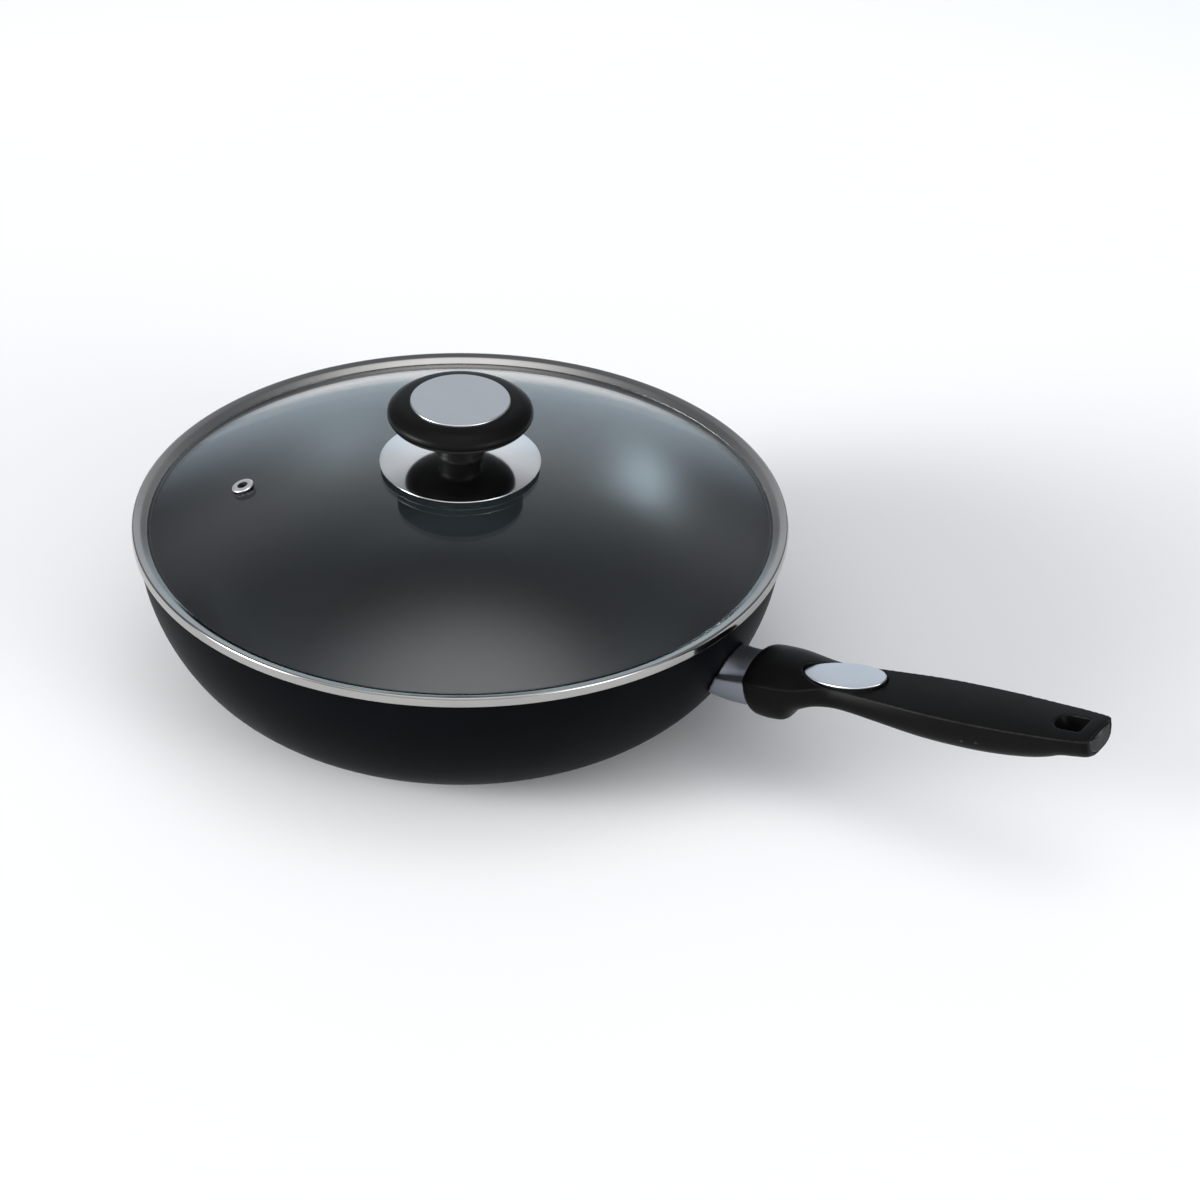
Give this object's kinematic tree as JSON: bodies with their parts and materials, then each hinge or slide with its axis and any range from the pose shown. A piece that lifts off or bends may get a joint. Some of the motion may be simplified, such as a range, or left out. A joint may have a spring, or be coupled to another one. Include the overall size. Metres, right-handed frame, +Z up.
{
  "type": "wok with lid",
  "caption": "Flat-based non-stick wok with a domed glass lid in a steel band, mushroom knob with a steel guard plate, and a pull-off handle released by an oval button.",
  "frame": {"origin": "centre of the flat underside of the wok's base", "axes": "+Z up, +X out along the handle, +Y to the left when looking from the wok's middle out along the handle"},
  "size_m": [0.4556, 0.2856, 0.1387],
  "materials": {
    "nonstick_aluminium": "dark charcoal non-stick coating, satin",
    "cast_aluminium": "satin",
    "lid_glass": "clear tempered",
    "polished_steel": "mirror polished stainless",
    "satin_steel": "satin",
    "plain_steel": "plain",
    "brass": "machined",
    "phenolic": "fine matt grain",
    "grey_plate": "satin",
    "silicone": "matt"
  },
  "bodies": {
    "wok": {"wok_shell": "nonstick_aluminium", "handle_stub": "cast_aluminium", "stub_rivet_left": "cast_aluminium", "stub_rivet_right": "cast_aluminium"},
    "lid": {"lid_glass": "lid_glass", "lid_band": "polished_steel", "vent_eyelet": "polished_steel", "gasket_upper": "silicone", "gasket_lower": "silicone", "screw_washer": "plain_steel", "knob_screw": "plain_steel", "knob_insert": "brass", "knob_foot": "phenolic", "knob_flange": "polished_steel", "knob_body": "phenolic", "knob_disc": "satin_steel"},
    "handle": {"handle_grip": "phenolic", "end_plate": "grey_plate", "latch_leaf": "plain_steel", "latch_screw": "plain_steel"},
    "button": {"button_face": "satin_steel", "button_plunger": "phenolic"}
  },
  "joints": [
    {"name": "lid_lift", "type": "slide", "parent": "wok", "child": "lid", "axis": [0, 0, 1], "range_m": [0, 0.15]},
    {"name": "handle_pull", "type": "slide", "parent": "wok", "child": "handle", "axis": [0.9904, 0, 0.138], "range_m": [0, 0.06], "deforming": ["latch_leaf"]},
    {"name": "button_press", "type": "slide", "parent": "handle", "child": "button", "axis": [0.1793, 0, -0.9838], "range_m": [0, 0.001], "stiffness_N_per_m": 1500, "springref_m": -0.002, "deforming": ["latch_leaf"]}
  ]
}
